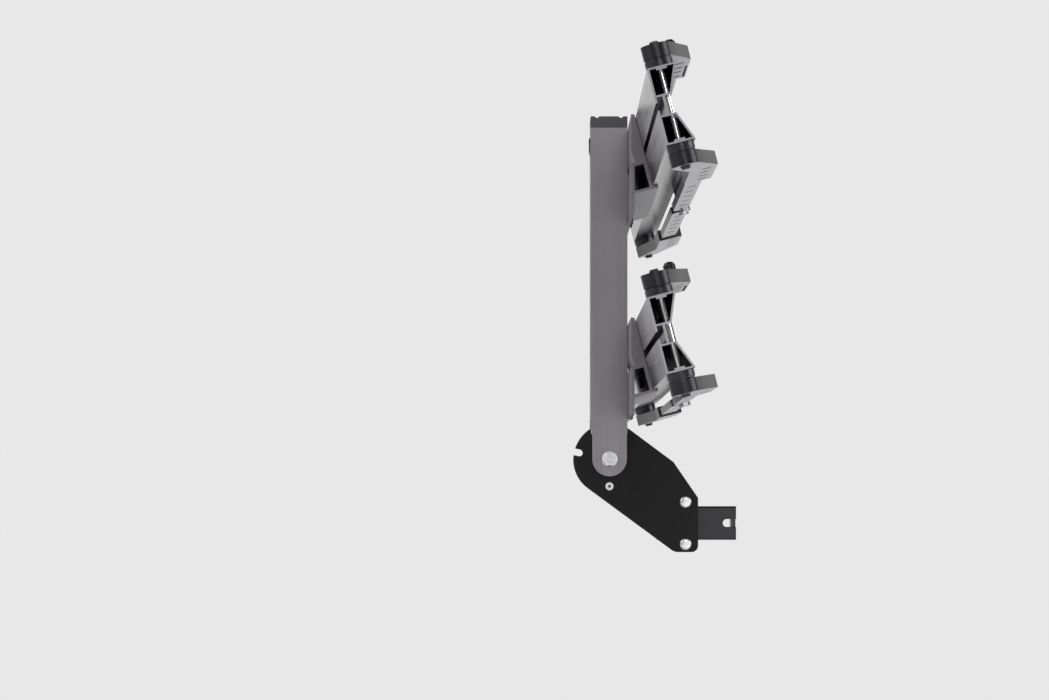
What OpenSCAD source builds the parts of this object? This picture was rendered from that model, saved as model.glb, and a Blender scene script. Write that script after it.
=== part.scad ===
/* [Hitch bar] */
// Outside width of the square bar that goes into the receiver
bar_w = 50.8; // [48:0.2:54]
// Wall of the square bar
bar_wall = 6; // [5:0.5:7]
// Bare length of the bar between the plates and its end
bar_stub = 59; // [50:1:90]
// Length of the bar held between the side plates
bar_inner = 60; // [56:1:70]
// Height of the open slot at the end of the bar
slot_h = 12; // [10:0.5:16]
// Length of the open slot at the end of the bar
slot_len = 20; // [18:1:30]
// Radius of the locking ball
ball_r = 8; // [6:0.5:9]
// Radius of the draw rod that pulls the wedge
draw_r = 5; // [4:0.5:6]

/* [Side plates] */
// Thickness of each side plate
plate_t = 6; // [5:0.5:8]
// Radius of the plate round the pivot
plate_r = 54; // [50:1:58]
// Distance from the end of the bar back to the pivot
pivot_back = 190.9; // [180:0.1:200]
// Height of the pivot above the middle of the bar
pivot_up = 96.3; // [85:0.1:105]
// Radius of the two clamp bolts beside the bar
clamp_r = 6; // [5:0.5:6.5]
// Radius of the domed heads of the clamp bolts
dome_r = 8.7; // [8:0.1:10]
// Distance of the stop bolt below the pivot
stop_down = 41; // [38:1:44]

/* [Main beam] */
// Depth of the beam, seen from the side
beam_d = 55.5; // [52:0.1:60]
// Distance from the back of the beam to the pivot
beam_set = 28.6; // [28:0.1:30]
// Wall of the beam
beam_wall = 5.5; // [4:0.5:7]
// Height of the beam and its cap above the pivot
beam_h = 515; // [500:1:600]
// Height of the cap on the end of the beam
cap_h = 17; // [12:1:24]
// Radius of the pivot bolt
pivot_r = 8; // [6:0.5:9]
// Angle from the stored beam to the beam in use
use_angle = 77.5; // [70:0.5:85]
// Radius of the latch bar
latch_r = 4.5; // [4:0.5:5]
// Travel of the latch bar
latch_travel = 12; // [11:0.5:14]

/* [Trays] */
// Length of each tray
tray_len = 1400; // [1300:10:1460]
// Width of a tray across both rails
tray_w = 101.6; // [98:0.2:106]
// Thickness of a tray
tray_t = 38.1; // [36:0.1:42]
// Wall of the tray extrusion
tray_wall = 2.5; // [2.5:0.5:3.5]
// Distance between the two trays
tray_pitch = 293; // [280:1:310]
// Height of the lower tray above the middle of the bar
tray_low = 245.7; // [240:0.1:252]
// Gap that the middle of a tray keeps from the beam face
tray_gap = 28.6; // [27:0.1:32]
// Angle of the trays to the stored beam
tray_tilt = 14.5; // [12:0.5:15]
// Length of a tray saddle along the tray
saddle_len = 440; // [300:10:520]

/* [Wheel arms] */
// Radius of the round hubs at the ends of the trays
hub_r = 18.5; // [17.5:0.1:19]
// Thickness of the fixed hub disc
disc_t = 11; // [9:0.5:13]
// Thickness of an arm sleeve
sleeve_t = 18; // [17:0.5:20]
// Length of an arm sleeve
sleeve_len = 265; // [240:1:290]
// Thickness of a sliding bar
arm_t = 11; // [10:0.5:12]
// Width of a sliding bar
arm_w = 24; // [22:0.5:26]
// Travel of a sliding bar in its sleeve
arm_travel = 50; // [30:1:60]
// Gap between the tips of the two arms of a tray
tip_gap = 28; // [28:1:200]
// Radius of the hub axle
axle_r = 4; // [3:0.5:5]
// Radius of the cross tube between the arm tips
cross_r = 7; // [6:0.5:8]
// Radius of the clamp knob
knob_r = 8.5; // [7.5:0.5:10]

/* [Hidden] */
$fn = 48;

// Clearances: a gap between pieces, a running fit, and the overshoot of a cut
gap = 0.3;
run = 0.05;
eps = 1;

// Hitch bar, ball lock and end plug
half_bar = bar_w / 2;
bar_corner = 4;
bar_back = -(bar_stub + bar_inner);
bore_half = half_bar - bar_wall;
plug_t = 6.5;
plug_back = 0.5;
ball_back = 12;
ball_x = -(slot_len + ball_r + ball_back);
ball_z = half_bar - ball_r - gap;
ramp = 0.5;
// Height of the ramp under the ball, so that the ball rests on it with a gap
ramp_z = ball_z - (ball_r + gap) * sqrt(1 + ramp * ramp);
wedge_len = 24;
wedge_side = 2;
wedge_x = ball_x - wedge_len / 2;
draw_lift = 8;
draw_head = 3;
draw_hex = 17;
draw_hex_h = 8;
draw_flange_r = 12;
draw_flange_t = 2.5;
draw_z = -bore_half + draw_r + draw_lift;

// Side plates and the bolts through them
plate_out = half_bar + plate_t;
pivot_x = -pivot_back;
clamp_in = 17.5;
clamp_x = -(bar_stub + clamp_in);
clamp_z = half_bar + clamp_r + gap;
clamp_edge = 12;
clamp_tail = 12;
clamp_hex = 17;
clamp_nut_h = 9;
dome_profile = [[0, 0], [dome_r, 0], [dome_r, 2], [dome_r - 1.5, 3.6], [0, 4.6]];
plate_foot_r = 10;
plate_foot = -(clamp_z + clamp_edge);
nose_over = 1.5;
nose_up = 38;
shoulder_out = 96.5;
shoulder_down = 4.5;
plate_nose = [-(bar_stub - nose_over), nose_up];
plate_shoulder = [pivot_x + shoulder_out, pivot_up - shoulder_down];
heel = [clamp_x - clamp_edge, plate_foot + plate_foot_r];
toe = [plate_nose[0] - plate_foot_r, plate_foot + plate_foot_r];
stop_r = 4;
stop_rim = 3;
stop_head_rim = 2;
stop_ring_t = 0.6;
stop_socket_r = 2;
washer_t = 2;
washer_rim = 2;
pivot_washer_r = 12;
pivot_collar = 6;
pivot_tail = 15;
pivot_hex = 19;
pivot_hex_h = 6;
pivot_socket_r = 5;
pivot_socket_d = 2;
pivot_nut_hex = 22;
pivot_nut_h = 10;

// Beam section, set by the plates that stand between its cheeks
cheek_gap = 0.8;
beam_in = plate_out + cheek_gap;
beam_out = beam_in + beam_wall;
beam_back = pivot_x - beam_set;
beam_face = beam_back + beam_d;
cheek_r = 26;
mill_low = 35.5;
mill_high = 39.7;
beam_top = pivot_up + beam_h;
web_gap = 6;
web_low = pivot_up + plate_r + web_gap;
cap_plug = 10;
cap_groove_x = 18;
cap_groove_z = 1.2;
cap_groove_r = 3.5;

// Latch
latch_bite = 2.5;
latch_seat = pivot_up + plate_r - latch_bite;
latch_z = latch_seat + latch_travel;
notch_gap = 1.2;
notch_spare = 5;
notch_over = 12;
latch_rod_r = 4;
latch_boss_rim = 3;
latch_boss_h = 10;
latch_boss_z = latch_r - 1;
handle_w = 30;
handle_h = 22;
handle_out = 2;
handle_t = 8;
handle_in = 8;
handle_grip_r = 9;
handle_down = 52;
handle_z = beam_top - handle_down - latch_travel;

// Tray frame: x is square to the tray, y runs along it, z runs across it
tray_x = beam_face + tray_gap;
inner_z = tray_low;
outer_z = tray_low + tray_pitch;
back_w = -tray_t / 4;
front_w = back_w + tray_t;
half_w = tray_w / 2;
waist_z = 12;
waist_w = 7;
lip = 7;
foot_out = 6;
rail_foot = waist_w + foot_out;
web_in = 3;
web_t = 3.5;
web_front = waist_w - web_in;
web_back = web_front - web_t;
boss_half = 7;
boss_t = 2.6;
axle_w = 8.5;
hub_y = tray_len / 2 - hub_r;
disc_z = half_w + gap;
disc_rim_h = 2;
disc_rim_in = 1;
axle_washer_r = 7;
axle_washer_t = 1.5;
axle_hex = 10;
axle_hex_h = 4;

// Saddle and its bolts
saddle_bolt_r = 4;
saddle_hole_y = 24;
saddle_hole_z = 82;
saddle_wall = 5;
saddle_edge = 7;
saddle_over = 4.5;
saddle_top = 52;
saddle_flange = 3.8;
saddle_lip = 7;
saddle_nut_h = 3.5;
saddle_nut_rim = 3;
nick_top = 3;
nick_mid = 17.5;
nick_low = 20.5;
window_top = 16.6;
tray_bolt_z = 31;
tray_bolt_tail = 3;

// Wheel arms
sleeve_z = disc_z + disc_t + gap;
arm_z = sleeve_z + (sleeve_t - arm_t) / 2;
arm_drop = 6;
arm_low = front_w - arm_drop;
arm_high = arm_low + arm_w;
rail_w = 6;
sleeve_wall = 4;
tip_y = tip_gap / 2;
pad_t = 3.5;
pad_in = 6;
cross_up = 5;
cross_in = 6;
cross_w = front_w + cross_r + cross_up;
cross_y = tip_y + cross_r + cross_in;
cross_hole = 4;
cross_hex = 13;
cross_hex_h = 5;
knob_in = 110;
knob_y = tray_len / 2 - knob_in;
knob_w = arm_low + arm_w / 2;
knob_stem = 3;
stem_gap = 0.1;
knob_profile = [
    [0, 0], [knob_r, 0], [knob_r, 4], [knob_r - 1, 5],
    [knob_r - 1, 11], [knob_r - 3, 14], [0, 15.5]
];

// Slanted end of the arms, from the hub to the outer corner of the sleeve
corner_in = 100;
corner_w = arm_high + sleeve_wall + rail_w;
corner_y = tray_len / 2 - corner_in;
limb_step = 10;
slant_reach = norm([corner_w - axle_w, corner_y - hub_y]);
slant = atan2(corner_y - hub_y, corner_w - axle_w) - asin(hub_r / slant_reach);
slant_wall = sleeve_wall / cos(slant);

// Groove and index marks pressed into the arms
groove_end = 8;
groove_len = 100;
groove_w = 3;
groove_d = 3;
groove_in = 5;
mark_count = 4;
mark_first = 23;
mark_pitch = 40;
mark_in = 13;
mark_w = arm_low + mark_in;
mark_len = 12;
mark_t = 7;
mark_d = 1;
bar_marks = 5;
bar_pitch = 64;
bar_mark_in = 6;
bar_mark_first = 70;
bar_spare = 1;

function tray_point(w, z, zc) = [
    tray_x + w * cos(tray_tilt) - z * sin(tray_tilt),
    zc + w * sin(tray_tilt) + z * cos(tray_tilt)
];

module on_tray(zc) {
    translate([tray_x, 0, zc])
        rotate([0, -tray_tilt, 0])
            children();
}

// side is -1 for the near end of the tray and 1 for the far end
module at_end(side) {
    if (side < 0) mirror([0, 1, 0]) children();
    else children();
}

module rod_y(r, y0, y1) {
    translate([0, y0, 0])
        rotate([-90, 0, 0])
            cylinder(r = r, h = y1 - y0);
}

module hex_y(across, y0, y1) {
    translate([0, y0, 0])
        rotate([-90, 0, 0])
            cylinder(d = across / cos(30), h = y1 - y0, $fn = 6);
}

// Extrudes a profile drawn in x and z along y
module along_y(y0, y1) {
    translate([0, y1, 0])
        rotate([90, 0, 0])
            linear_extrude(height = y1 - y0)
                children();
}

module round_square(w, h, r) {
    square([w - 2 * r, h], center = true);
    square([w, h - 2 * r], center = true);
    for (sx = [-1, 1], sy = [-1, 1])
        translate([sx * (w / 2 - r), sy * (h / 2 - r)])
            circle(r = r);
}

// Hitch bar and the ball lock inside it
module hitch_bar() {
    bar_len = bar_stub + bar_inner;
    color("#2b2b2e")
        difference() {
            translate([bar_back, 0, 0])
                rotate([90, 0, 90])
                    linear_extrude(height = bar_len)
                        difference() {
                            round_square(bar_w, bar_w, bar_corner);
                            square(bar_w - 2 * bar_wall, center = true);
                        }
            translate([-slot_len + slot_h / 2, 0, 0])
                rod_y(slot_h / 2, -bar_w, bar_w);
            translate([-slot_len + slot_h / 2, -bar_w, -slot_h / 2])
                cube([slot_len, 2 * bar_w, slot_h]);
            translate([ball_x, 0, 0])
                cylinder(r = ball_r + gap, h = bar_w);
        }
}

module draw_rod() {
    color("silver")
        translate([bar_back - draw_head, 0, draw_z])
            rotate([0, 90, 0]) {
                cylinder(r = draw_r, h = wedge_x + wedge_len - bar_back + draw_head);
                translate([0, 0, -draw_hex_h])
                    cylinder(d = draw_hex / cos(30), h = draw_hex_h, $fn = 6);
                cylinder(r = draw_flange_r, h = draw_flange_t);
            }
}

module draw_wedge() {
    x0 = wedge_x;
    x1 = x0 + wedge_len;
    z0 = -bore_half + gap;
    color("#151517")
        difference() {
            along_y(wedge_side - bore_half, bore_half - wedge_side)
                polygon([
                    [x0, z0], [x1, z0],
                    [x1, ramp_z + (x1 - ball_x) * ramp],
                    [x0, ramp_z + (x0 - ball_x) * ramp]
                ]);
            translate([x0 - eps, 0, draw_z])
                rotate([0, 90, 0])
                    cylinder(r = draw_r + run, h = wedge_len + 2 * eps);
        }
}

// Black plug that closes the end of the bar behind the slot
module end_plug() {
    side = 2 * (bore_half - gap);
    color("#151517")
        translate([-plug_back - plug_t, -side / 2, -side / 2])
            cube([plug_t, side, side]);
}

module lock_ball() {
    color("silver")
        translate([ball_x, 0, ball_z])
            sphere(r = ball_r);
}

// Side plates that carry the beam
function arc(c, r, a0, a1, n) = [
    for (i = [0:n])
        let (a = a0 + (a1 - a0) * i / n)
            [c[0] + r * cos(a), c[1] + r * sin(a)]
];

// Angle of the point where a straight edge from circle p leaves towards circle q
function tangent_angle(p, q, dr, side) =
    let (d = q - p)
        atan2(d[1], d[0]) + side * acos(dr / norm(d));

module plate_outline() {
    pivot = [pivot_x, pivot_up];
    top_a = tangent_angle(pivot, plate_shoulder, plate_r, 1);
    low_a = 360 + tangent_angle(pivot, heel, plate_r - plate_foot_r, -1);
    difference() {
        polygon(concat(
            arc(pivot, plate_r, top_a, low_a, 60),
            arc(heel, plate_foot_r, low_a, 270, 8),
            arc(toe, plate_foot_r, 270, 360, 12),
            [plate_nose, plate_shoulder]
        ));
        for (a = [0, use_angle])
            translate(pivot)
                rotate(a)
                    latch_notch();
    }
}

// One open notch in the rim, drawn for the stored beam
module latch_notch() {
    half = latch_r + notch_gap;
    hull() {
        translate([0, latch_seat - pivot_up - notch_spare])
            circle(r = half);
        translate([0, plate_r + notch_over])
            circle(r = half);
    }
}

module side_plate(y0) {
    color("#1b1b1e")
        difference() {
            along_y(y0, y0 + plate_t)
                plate_outline();
            for (z = [-clamp_z, clamp_z])
                translate([clamp_x, 0, z])
                    rod_y(clamp_r + run, y0 - eps, y0 + plate_t + eps);
            translate([pivot_x, 0, pivot_up])
                rod_y(pivot_r + run, y0 - eps, y0 + plate_t + eps);
            translate([pivot_x, 0, pivot_up - stop_down])
                rod_y(stop_r + run, y0 - eps, y0 + plate_t + eps);
        }
}

module side_plate_near() {
    side_plate(-plate_out);
}

module side_plate_far() {
    side_plate(half_bar);
}

module clamp_bolts() {
    color("gainsboro")
        for (z = [-clamp_z, clamp_z])
            translate([clamp_x, 0, z]) {
                rod_y(clamp_r, -plate_out, plate_out + clamp_tail);
                rotate([90, 0, 0])
                    translate([0, 0, plate_out])
                        rotate_extrude()
                            polygon(dome_profile);
            }
}

module clamp_nuts() {
    nut_y = plate_out + washer_t;
    color("silver")
        for (z = [-clamp_z, clamp_z])
            translate([clamp_x, 0, z])
                difference() {
                    union() {
                        rod_y(dome_r + washer_rim, plate_out, nut_y);
                        hex_y(clamp_hex, nut_y, nut_y + clamp_nut_h);
                    }
                    rod_y(clamp_r + run, plate_out - eps, nut_y + clamp_nut_h + eps);
                }
}

module stop_bolt() {
    color("gainsboro")
        translate([pivot_x, 0, pivot_up - stop_down]) {
            rod_y(stop_r, -plate_out, plate_out);
            rod_y(stop_r + stop_rim, -half_bar, half_bar);
            difference() {
                rod_y(stop_r + stop_rim, plate_out, plate_out + stop_ring_t);
                rod_y(stop_socket_r, plate_out, plate_out + eps);
            }
            difference() {
                rod_y(stop_r + stop_head_rim, -plate_out - stop_ring_t, -plate_out);
                rod_y(stop_socket_r, -plate_out - eps, -plate_out);
            }
        }
}

module pivot_sleeve() {
    color("silver")
        translate([pivot_x, 0, pivot_up])
            difference() {
                rod_y(pivot_r + pivot_collar, -half_bar, half_bar);
                rod_y(pivot_r + run, -half_bar - eps, half_bar + eps);
            }
}

module pivot_bolt() {
    head_y = -beam_out - washer_t - pivot_hex_h;
    color("gainsboro")
        translate([pivot_x, 0, pivot_up]) {
            rod_y(pivot_r, -beam_out, beam_out + pivot_tail);
            rod_y(pivot_washer_r, -beam_out - washer_t, -beam_out);
            difference() {
                hex_y(pivot_hex, head_y, -beam_out - washer_t);
                rod_y(pivot_socket_r, head_y - eps, head_y + pivot_socket_d);
            }
        }
}

module pivot_nut() {
    nut_y = beam_out + washer_t;
    color("silver")
        translate([pivot_x, 0, pivot_up])
            difference() {
                union() {
                    rod_y(pivot_washer_r, beam_out, nut_y);
                    hex_y(pivot_nut_hex, nut_y, nut_y + pivot_nut_h);
                }
                rod_y(pivot_r + run, beam_out - eps, nut_y + pivot_nut_h + eps);
            }
}

// Side of the beam: its foot is milled to a round cheek, narrower than the box above
module beam_side() {
    cap_z = beam_top - cap_h;
    polygon(concat(
        arc([pivot_x, pivot_up], cheek_r, 180, 360, 36),
        [[pivot_x + cheek_r, pivot_up + mill_low], [beam_face, pivot_up + mill_high]],
        [[beam_face, cap_z], [beam_back, cap_z], [beam_back, pivot_up + mill_high]],
        [[pivot_x - cheek_r, pivot_up + mill_low]]
    ));
}

// Beam: a box extrusion whose end is cut away to two round cheeks
module beam() {
    color("#5b5759")
        difference() {
            along_y(-beam_out, beam_out)
                beam_side();
            translate([beam_back + beam_wall, -beam_in, pivot_up - beam_d])
                cube([beam_d - 2 * beam_wall, 2 * beam_in, beam_h + beam_d]);
            translate([beam_back - eps, -beam_in, pivot_up - beam_d])
                cube([beam_d + 2 * eps, 2 * beam_in, web_low - pivot_up + beam_d]);
            translate([pivot_x, 0, pivot_up])
                rod_y(pivot_r + run, -beam_out - eps, beam_out + eps);
            translate([beam_back - eps, -handle_w / 2 - gap, handle_z - gap])
                cube([beam_wall + 2 * eps, handle_w + 2 * gap, handle_h + latch_travel + 2 * gap]);
            for (zc = [inner_z, outer_z], s = [-1, 1])
                translate([beam_face, s * saddle_hole_y, zc - saddle_hole_z])
                    rotate([0, 90, 0])
                        cylinder(r = saddle_bolt_r + run, h = 4 * beam_wall, center = true);
        }
}

module beam_cap() {
    cap_z = beam_top - cap_h;
    beam_mid = beam_back + beam_d / 2;
    color("#47444a")
        difference() {
            union() {
                translate([beam_back, -beam_out, cap_z])
                    cube([beam_d, 2 * beam_out, cap_h]);
                translate([beam_back + beam_wall + gap, -beam_in + gap, cap_z - cap_plug])
                    cube([beam_d - 2 * beam_wall - 2 * gap, 2 * beam_in - 2 * gap, cap_plug + eps]);
            }
            for (s = [-1, 1])
                translate([beam_mid + s * cap_groove_x, 0, beam_top + cap_groove_z])
                    rod_y(cap_groove_r, -beam_out - eps, beam_out + eps);
        }
}

// Latch inside the beam, shown drawn clear of the notches
module latch_bar() {
    color("silver")
        translate([pivot_x, 0, latch_z]) {
            rod_y(latch_r, -beam_in + gap, beam_in - gap);
            translate([0, 0, latch_boss_z])
                cylinder(r = latch_rod_r + latch_boss_rim, h = latch_boss_h);
        }
}

module latch_rod() {
    z0 = latch_z + latch_boss_z + latch_boss_h;
    color("silver")
        translate([pivot_x, 0, z0])
            cylinder(r = latch_rod_r, h = handle_z + latch_travel - z0);
}

module release_handle() {
    z0 = handle_z + latch_travel;
    color("#1b1b1e")
        difference() {
            union() {
                translate([beam_back - handle_out, -handle_w / 2, z0])
                    cube([pivot_x + handle_in - beam_back + handle_out, handle_w, handle_t]);
                translate([beam_back - handle_out, -handle_w / 2, z0])
                    cube([handle_out - gap, handle_w, handle_h]);
            }
            translate([beam_back - 2 * handle_out, 0, z0 + handle_h])
                rotate([0, 90, 0])
                    cylinder(r = handle_grip_r, h = handle_t);
        }
}

// Tray extrusion: two hollow rails joined by a narrow web, with a lip on the back of each rail
function tray_outline(side) = [
    [back_w, side * half_w], [front_w, side * half_w],
    [rail_foot, side * waist_z], [web_front, side * waist_z]
];

function lip_outline(side) = [
    [web_back, side * waist_z], [back_w + tray_wall, side * waist_z],
    [back_w + tray_wall, side * (waist_z - lip)], [back_w, side * (waist_z - lip)]
];

function backwards(list) = [for (i = [len(list) - 1:-1:0]) list[i]];

module rail_hollow(side) {
    k = (front_w - rail_foot) / (half_w - waist_z);
    inset = tray_wall * sqrt(1 + k * k);
    top = half_w - tray_wall;
    polygon([
        [back_w + tray_wall, side * top],
        [axle_w - boss_half, side * top], [axle_w - boss_half, side * (top - boss_t)],
        [axle_w + boss_half, side * (top - boss_t)], [axle_w + boss_half, side * top],
        [front_w - inset - k * tray_wall, side * top],
        [rail_foot - inset + k * tray_wall, side * (waist_z + tray_wall)],
        [back_w + tray_wall, side * (waist_z + tray_wall)]
    ]);
}

module tray_profile() {
    difference() {
        polygon(concat(
            tray_outline(1), backwards(tray_outline(-1)),
            backwards(lip_outline(-1)), lip_outline(1)
        ));
        rail_hollow(1);
        rail_hollow(-1);
    }
}

module tray() {
    color("#8f8d92")
        difference() {
            along_y(-tray_len / 2, tray_len / 2)
                tray_profile();
            for (s = [-1, 1])
                translate([axle_w, s * hub_y, -tray_w])
                    cylinder(r = axle_r + run, h = 2 * tray_w);
            for (s = [-1, 1])
                translate([back_w, s * saddle_hole_y, -tray_bolt_z])
                    rotate([0, 90, 0])
                        cylinder(r = saddle_bolt_r + run, h = 3 * tray_wall, center = true);
        }
}

// Saddle: a wedge extrusion that sets the tray level when the beam is in use,
// with a window behind the lower rail and a lip under the tray
module saddle(zc) {
    seat = back_w - gap;
    under = -half_w - gap;
    foot = beam_face + gap;
    foot_face = foot + saddle_wall;
    foot_z = zc - saddle_hole_z - saddle_edge;
    lip_w = back_w + saddle_lip;
    inner_w = seat - saddle_wall;
    color("#77747a")
        difference() {
            along_y(-saddle_len / 2, saddle_len / 2)
                difference() {
                    polygon([
                        [foot, zc + saddle_top], tray_point(seat, half_w + saddle_over, zc),
                        tray_point(seat, under, zc), tray_point(lip_w, under, zc),
                        tray_point(lip_w, under - saddle_flange, zc),
                        wedge_point(foot_face, under - saddle_flange, zc),
                        [foot_face, foot_z], [foot, foot_z],
                        [foot, zc - nick_low], [foot_face, zc - nick_mid], [foot, zc - nick_top]
                    ]);
                    polygon([
                        wedge_point(foot_face, -window_top, zc), wedge_point(foot_face, under, zc),
                        tray_point(inner_w, under, zc), tray_point(inner_w, -window_top, zc)
                    ]);
                }
            for (s = [-1, 1])
                translate([foot, s * saddle_hole_y, zc - saddle_hole_z])
                    rotate([0, 90, 0])
                        cylinder(r = saddle_bolt_r + run, h = 4 * saddle_wall, center = true);
            on_tray(zc)
                for (s = [-1, 1])
                    translate([inner_w - eps, s * saddle_hole_y, -tray_bolt_z])
                        rotate([0, 90, 0])
                            cylinder(r = saddle_bolt_r + run, h = saddle_wall + 2 * eps);
        }
}

// Point at x that lies on the line across the tray through z
function wedge_point(x, z, zc) =
    tray_point((x - tray_x + z * sin(tray_tilt)) / cos(tray_tilt), z, zc);

// Bolts of a saddle: two into the beam and two into the lower rail of the tray
module saddle_bolts(zc) {
    grip = saddle_wall + gap + tray_wall + tray_bolt_tail;
    color("#1b1b1e") {
        for (s = [-1, 1])
            translate([beam_face, s * saddle_hole_y, zc - saddle_hole_z])
                rotate([0, 90, 0]) {
                    translate([0, 0, -beam_wall])
                        cylinder(r = saddle_bolt_r, h = beam_wall + gap + saddle_wall);
                    translate([0, 0, gap + saddle_wall])
                        cylinder(r = saddle_bolt_r + saddle_nut_rim, h = saddle_nut_h);
                }
        on_tray(zc)
            for (s = [-1, 1])
                translate([back_w - gap - saddle_wall, s * saddle_hole_y, -tray_bolt_z])
                    rotate([0, 90, 0]) {
                        cylinder(r = saddle_bolt_r, h = grip);
                        translate([0, 0, -saddle_nut_h])
                            cylinder(r = saddle_bolt_r + saddle_nut_rim, h = saddle_nut_h);
                    }
    }
}

// Hub discs fixed to the tray and the axles that run through them
module disc_shape() {
    difference() {
        union() {
            cylinder(r = hub_r, h = disc_t - disc_rim_h);
            translate([0, 0, disc_t - disc_rim_h])
                cylinder(r = hub_r - disc_rim_in, h = disc_rim_h);
        }
        translate([0, 0, -eps])
            cylinder(r = axle_r + run, h = disc_t + 2 * eps);
    }
}

module hub_discs(zc) {
    color("#1b1b1e")
        on_tray(zc)
            for (s = [-1, 1], m = [0, 1])
                translate([axle_w, s * hub_y, 0])
                    mirror([0, 0, m])
                        translate([0, 0, disc_z - gap])
                            disc_shape();
}

module axle(zc, s) {
    end_z = sleeve_z + sleeve_t + gap;
    color("white")
        on_tray(zc)
            translate([axle_w, s * hub_y, 0]) {
                translate([0, 0, -end_z])
                    cylinder(r = axle_r, h = 2 * end_z);
                for (m = [0, 1])
                    mirror([0, 0, m])
                        translate([0, 0, end_z]) {
                            cylinder(r = axle_washer_r, h = axle_washer_t);
                            cylinder(d = axle_hex / cos(30), h = axle_hex_h, $fn = 6);
                        }
            }
}

// Where the slanted end of a sleeve and of its bar lies at a height above the tray
function slant_y(w) = corner_y + (w - corner_w) * tan(slant);

// Slab of the bar's channel or of the bar, from y0 to the slanted end set back by an amount
module slant_slab(low, high, y0, back, thick) {
    linear_extrude(thick)
        polygon([
            [low, y0], [high, y0],
            [high, slant_y(high) - back], [low, slant_y(low) - back]
        ]);
}

// Arm sleeve: round hub, slanted limb and a channel for the sliding bar
module sleeve_shape(with_knob) {
    y0 = tray_len / 2 - sleeve_len;
    low = arm_low - sleeve_wall;
    inner_reach = norm([low - axle_w, corner_y - limb_step - hub_y]);
    inner_slant = atan2(corner_y - limb_step - hub_y, low - axle_w) + asin(hub_r / inner_reach);
    channel_z = (sleeve_t - arm_t) / 2 - gap;
    difference() {
        linear_extrude(sleeve_t)
            polygon(concat(
                arc([axle_w, hub_y], hub_r, slant + 90, inner_slant + 270, 48),
                [[low, corner_y - limb_step], [low, y0], [corner_w, y0], [corner_w, corner_y]]
            ));
        translate([axle_w, hub_y, -eps])
            cylinder(r = axle_r + run, h = sleeve_t + 2 * eps);
        translate([0, 0, channel_z])
            slant_slab(arm_low - gap, arm_high + gap, y0 - eps, slant_wall, arm_t + 2 * gap);
        translate([corner_w - groove_in, y0 + groove_end, -eps])
            cube([groove_w, groove_len, eps + groove_d]);
        for (i = [0:mark_count - 1])
            for (z = [-eps, sleeve_t - mark_d])
                translate([mark_w, y0 + mark_first + mark_pitch * i, z])
                    cube([mark_len, mark_t, eps + mark_d]);
        if (with_knob)
            translate([knob_w, knob_y, sleeve_t / 2])
                cylinder(r = knob_stem + run, h = sleeve_t);
    }
}

module sleeve(zc, s, m) {
    color("#9b999e")
        on_tray(zc)
            at_end(s)
                mirror([0, 0, m])
                    translate([0, 0, sleeve_z])
                        sleeve_shape(m == 0);
}

module bar_shape() {
    tip_end = tip_y + arm_w / 2;
    difference() {
        union() {
            slant_slab(arm_low, arm_high, tip_end, slant_wall + arm_travel + bar_spare, arm_t);
            translate([knob_w, tip_end, 0])
                cylinder(r = arm_w / 2, h = arm_t);
        }
        for (i = [0:bar_marks - 1])
            translate([arm_low + bar_mark_in, tip_y + bar_mark_first + bar_pitch * i, arm_t - mark_d])
                cube([mark_len, mark_t, eps + mark_d]);
        translate([cross_w, cross_y, -eps])
            cylinder(r = cross_hole + run, h = arm_t + 2 * eps);
    }
}

module bars(zc, s) {
    color("#a5a3a8")
        on_tray(zc)
            at_end(s)
                for (m = [0, 1])
                    mirror([0, 0, m])
                        translate([0, 0, arm_z])
                            bar_shape();
}

module cross_tube(zc, s) {
    end_z = arm_z + arm_t;
    color("silver")
        on_tray(zc)
            at_end(s)
                translate([cross_w, cross_y, 0]) {
                    translate([0, 0, -arm_z])
                        cylinder(r = cross_r, h = 2 * arm_z);
                    translate([0, 0, -end_z])
                        cylinder(r = cross_hole, h = 2 * end_z);
                    for (m = [0, 1])
                        mirror([0, 0, m])
                            translate([0, 0, end_z])
                                cylinder(d = cross_hex / cos(30), h = cross_hex_h, $fn = 6);
                }
}

module wheel_pad(zc, s) {
    half = half_w - pad_in;
    color("#1b1b1e")
        on_tray(zc)
            at_end(s)
                translate([cross_w, cross_y, 0])
                    difference() {
                        translate([0, 0, -half])
                            cylinder(r = cross_r + pad_t, h = 2 * half);
                        translate([0, 0, -half - eps])
                            cylinder(r = cross_r + run, h = 2 * half + 2 * eps);
                    }
}

module knob(zc, s) {
    stem = (sleeve_t - arm_t) / 2 - gap - stem_gap;
    color("#1b1b1e")
        on_tray(zc)
            at_end(s)
                translate([knob_w, knob_y, sleeve_z + sleeve_t]) {
                    translate([0, 0, -stem])
                        cylinder(r = knob_stem, h = stem + gap);
                    translate([0, 0, gap])
                        rotate_extrude()
                            polygon(knob_profile);
                }
}

hitch_bar();
end_plug();
draw_rod();
draw_wedge();
lock_ball();
side_plate_near();
side_plate_far();
clamp_bolts();
clamp_nuts();
stop_bolt();
pivot_sleeve();
pivot_bolt();
pivot_nut();
beam();
beam_cap();
latch_bar();
latch_rod();
release_handle();
on_tray(outer_z) tray();  // outer_tray
saddle(outer_z);  // outer_saddle
saddle_bolts(outer_z);  // outer_saddle_bolts
hub_discs(outer_z);  // outer_hub_discs
axle(outer_z, -1);  // outer_axle_near
axle(outer_z, 1);  // outer_axle_far
on_tray(inner_z) tray();  // inner_tray
saddle(inner_z);  // inner_saddle
saddle_bolts(inner_z);  // inner_saddle_bolts
hub_discs(inner_z);  // inner_hub_discs
axle(inner_z, -1);  // inner_axle_near
axle(inner_z, 1);  // inner_axle_far
sleeve(outer_z, -1, 0);  // outer_near_sleeve_top
sleeve(outer_z, -1, 1);  // outer_near_sleeve_bottom
bars(outer_z, -1);  // outer_near_bars
cross_tube(outer_z, -1);  // outer_near_cross_tube
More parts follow.
